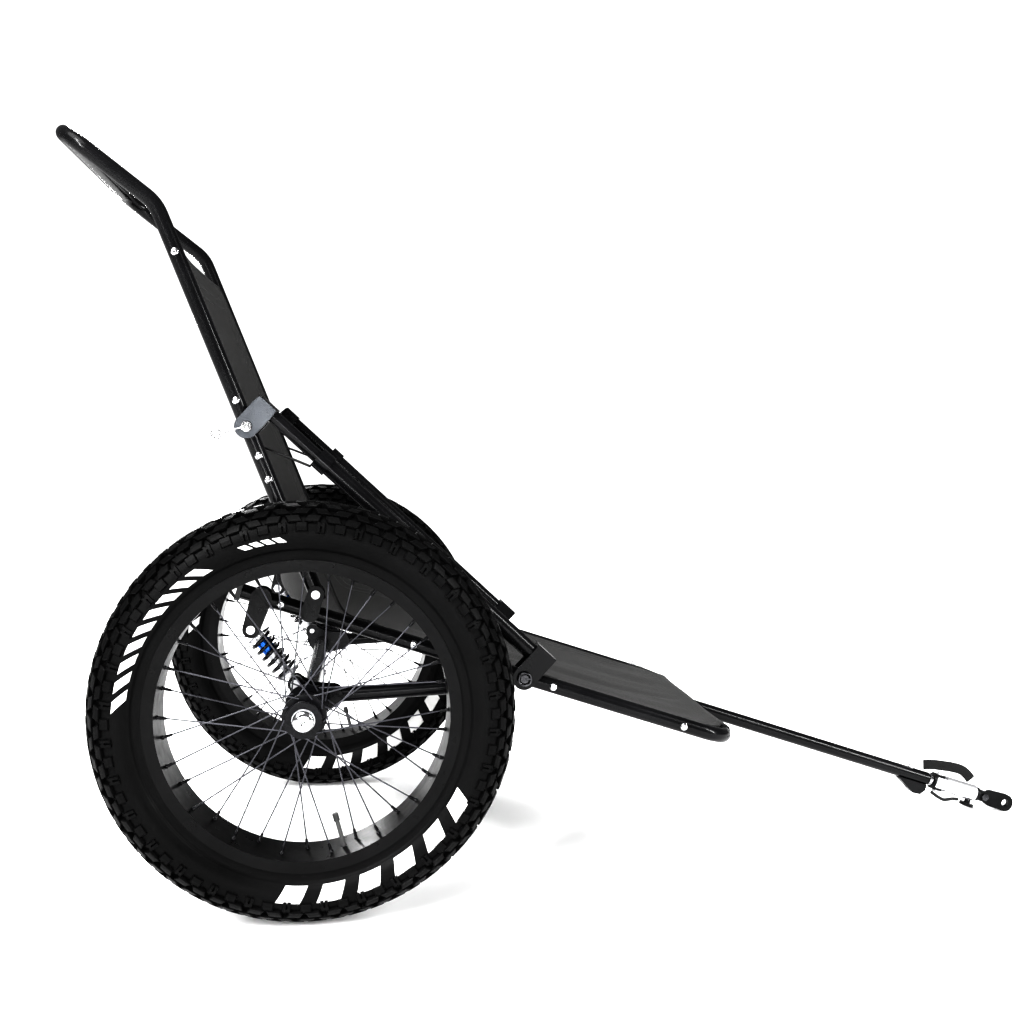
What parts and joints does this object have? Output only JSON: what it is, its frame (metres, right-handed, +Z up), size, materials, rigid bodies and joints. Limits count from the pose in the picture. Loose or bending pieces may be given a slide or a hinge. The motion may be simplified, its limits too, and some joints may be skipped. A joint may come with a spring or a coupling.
{
  "type": "child bicycle trailer",
  "caption": "Suspended bicycle trailer with fat spoked wheels, a reclining fabric sling seat, a push handle and a swivelling nose hitch.",
  "frame": {"origin": "on the ground, below the middle of the trailer's overall length and width", "axes": "+X forward towards the hitch, +Y to the left side, +Z up"},
  "size_m": [1.5627, 0.7852, 1.0959],
  "materials": {
    "black_paint": "gloss powder coat",
    "black_part": "satin moulded",
    "bright_steel": "zinc plated, satin",
    "chrome_part": "polished",
    "housing_alloy": "machined satin",
    "bush_brass": "machined",
    "sling_fabric": "coated woven",
    "webbing": "woven webbing",
    "cord_rubber": "satin sheath",
    "tyre_rubber": "matt moulded",
    "tube_rubber": "soft",
    "rim_alloy": "black anodised",
    "spoke_steel": "black stainless",
    "hub_alloy": "black anodised",
    "shock_alloy": "satin",
    "shock_coil": "gloss"
  },
  "bodies": {
    "chassis": {"seat_frame": "black_paint", "seat_end_plugs": "black_part", "seat_sling": "sling_fabric", "seat_screws": "bright_steel", "back_brackets": "black_paint", "pivot_bolts": "bright_steel", "shock_hangers": "black_paint", "arm_brackets": "black_paint", "rail_ring_pin": "bright_steel", "tow_bar": "black_paint", "hitch_shank": "black_paint", "hitch_block": "black_part", "hitch_spring": "bright_steel", "yaw_bolt": "bright_steel"},
    "backrest": {"backrest_tubes": "black_paint", "handle_bow": "black_paint", "back_sling": "sling_fabric", "back_screws": "bright_steel"},
    "suspension": {"swing_arms": "black_paint", "axle_plates": "black_paint", "axle_beam": "black_paint", "axle_caps": "chrome_part", "shock_lower_bolts": "bright_steel"},
    "ring_pin": {"hitch_ring_pin": "bright_steel"},
    "swivel": {"safety_strap": "webbing", "safety_cable": "cord_rubber", "swivel_housing": "housing_alloy", "strap_anchor": "black_part", "swivel_bush": "bush_brass"},
    "swivel_yoke": {"swivel_shaft": "black_paint", "tongue_bolt": "bright_steel"},
    "tongue": {"hitch_tongue": "black_paint"},
    "strut_upper_left": {"strut_inner_left": "black_paint", "pin_lanyard_left": "webbing"},
    "strut_lower_left": {"strut_outer_left": "black_paint"},
    "top_pin_left": {"strut_top_pin_left": "chrome_part"},
    "lower_pin_left": {"strut_lower_pin_left": "bright_steel"},
    "shock_upper_left": {"shock_body_left": "shock_alloy", "shock_spring_left": "shock_coil"},
    "shock_lower_left": {"shock_shaft_left": "shock_alloy"},
    "wheel_left": {"tyre_left": "tyre_rubber", "inner_tube_left": "tube_rubber", "rim_left": "rim_alloy", "spokes_left": "spoke_steel", "hub_left": "hub_alloy", "hub_bearings_left": "bright_steel"},
    "strut_upper_right": {"strut_inner_right": "black_paint", "pin_lanyard_right": "webbing"},
    "strut_lower_right": {"strut_outer_right": "black_paint"},
    "top_pin_right": {"strut_top_pin_right": "chrome_part"},
    "lower_pin_right": {"strut_lower_pin_right": "bright_steel"},
    "shock_upper_right": {"shock_body_right": "shock_alloy", "shock_spring_right": "shock_coil"},
    "shock_lower_right": {"shock_shaft_right": "shock_alloy"},
    "wheel_right": {"tyre_right": "tyre_rubber", "inner_tube_right": "tube_rubber", "rim_right": "rim_alloy", "spokes_right": "spoke_steel", "hub_right": "hub_alloy", "hub_bearings_right": "bright_steel"}
  },
  "joints": [
    {"name": "backrest_recline", "type": "hinge", "parent": "chassis", "child": "backrest", "pos_m": [-0.42689, 0, 0.43861], "axis": [0, 1, 0], "range_deg": [-12, 10]},
    {"name": "suspension_travel", "type": "hinge", "parent": "chassis", "child": "suspension", "pos_m": [-0.18507, 0, 0.30121], "axis": [0, 1, 0], "range_deg": [0, 6], "stiffness_Nm_per_rad": 1200, "springref_deg": -3.44},
    {"name": "ring_pin_pull", "type": "slide", "parent": "chassis", "child": "ring_pin", "axis": [0.315, 0, 0.9491], "range_m": [0, 0.035]},
    {"name": "hitch_yaw", "type": "hinge", "parent": "chassis", "child": "swivel", "pos_m": [0.64204, 0, 0.05627], "axis": [0.315, 0, 0.9491], "range_deg": [-35, 35]},
    {"name": "hitch_roll", "type": "hinge", "parent": "swivel", "child": "swivel_yoke", "pos_m": [0.69044, 0, 0.0402], "axis": [-0.9491, 0, 0.315], "continuous": true},
    {"name": "tongue_pitch", "type": "hinge", "parent": "swivel_yoke", "child": "tongue", "pos_m": [0.72461, 0, 0.02886], "axis": [0, 1, 0], "range_deg": [-35, 35]},
    {"name": "strut_hinge_left", "type": "hinge", "parent": "backrest", "child": "strut_upper_left", "pos_m": [-0.51993, 0.24, 0.67603], "axis": [0, 1, 0], "range_deg": [-12, 12]},
    {"name": "strut_slide_left", "type": "slide", "parent": "strut_upper_left", "child": "strut_lower_left", "axis": [0.7313, 0, -0.6821], "range_m": [-0.03, 0.03]},
    {"name": "top_pin_pull_left", "type": "slide", "parent": "strut_upper_left", "child": "top_pin_left", "axis": [0, 1, 0], "range_m": [0, 0.05]},
    {"name": "lower_pin_pull_left", "type": "slide", "parent": "chassis", "child": "lower_pin_left", "axis": [0, 1, 0], "range_m": [0, 0.03]},
    {"name": "shock_hinge_left", "type": "hinge", "parent": "chassis", "child": "shock_upper_left", "pos_m": [-0.51766, 0.24, 0.39003], "axis": [0, 1, 0], "range_deg": [-14, 2]},
    {"name": "shock_stroke_left", "type": "slide", "parent": "shock_upper_left", "child": "shock_lower_left", "axis": [0.6112, 0, -0.7915], "range_m": [-0.026, 0.002], "deforming": ["shock_spring_left"]},
    {"name": "wheel_spin_left", "type": "hinge", "parent": "suspension", "child": "wheel_left", "pos_m": [-0.43863, 0.325, 0.288], "axis": [0, 1, 0], "continuous": true},
    {"name": "strut_hinge_right", "type": "hinge", "parent": "backrest", "child": "strut_upper_right", "pos_m": [-0.51993, -0.24, 0.67603], "axis": [0, 1, 0], "range_deg": [-12, 12]},
    {"name": "strut_slide_right", "type": "slide", "parent": "strut_upper_right", "child": "strut_lower_right", "axis": [0.7313, 0, -0.6821], "range_m": [-0.03, 0.03]},
    {"name": "top_pin_pull_right", "type": "slide", "parent": "strut_upper_right", "child": "top_pin_right", "axis": [0, -1, 0], "range_m": [0, 0.05]},
    {"name": "lower_pin_pull_right", "type": "slide", "parent": "chassis", "child": "lower_pin_right", "axis": [0, -1, 0], "range_m": [0, 0.03]},
    {"name": "shock_hinge_right", "type": "hinge", "parent": "chassis", "child": "shock_upper_right", "pos_m": [-0.51766, -0.24, 0.39003], "axis": [0, 1, 0], "range_deg": [-14, 2]},
    {"name": "shock_stroke_right", "type": "slide", "parent": "shock_upper_right", "child": "shock_lower_right", "axis": [0.6112, 0, -0.7915], "range_m": [-0.026, 0.002], "deforming": ["shock_spring_right"]},
    {"name": "wheel_spin_right", "type": "hinge", "parent": "suspension", "child": "wheel_right", "pos_m": [-0.43863, -0.325, 0.288], "axis": [0, 1, 0], "continuous": true}
  ],
  "couplings": [
    {"joint": "strut_hinge_left", "follows": "backrest_recline", "ratio": -0.572},
    {"joint": "strut_slide_left", "follows": "backrest_recline", "m_per_rad": -0.1076},
    {"joint": "shock_hinge_left", "follows": "suspension_travel", "ratio": -2.177},
    {"joint": "shock_stroke_left", "follows": "suspension_travel", "m_per_rad": -0.1824},
    {"joint": "strut_hinge_right", "follows": "backrest_recline", "ratio": -0.572},
    {"joint": "strut_slide_right", "follows": "backrest_recline", "m_per_rad": -0.1076},
    {"joint": "shock_hinge_right", "follows": "suspension_travel", "ratio": -2.177},
    {"joint": "shock_stroke_right", "follows": "suspension_travel", "m_per_rad": -0.1824}
  ]
}
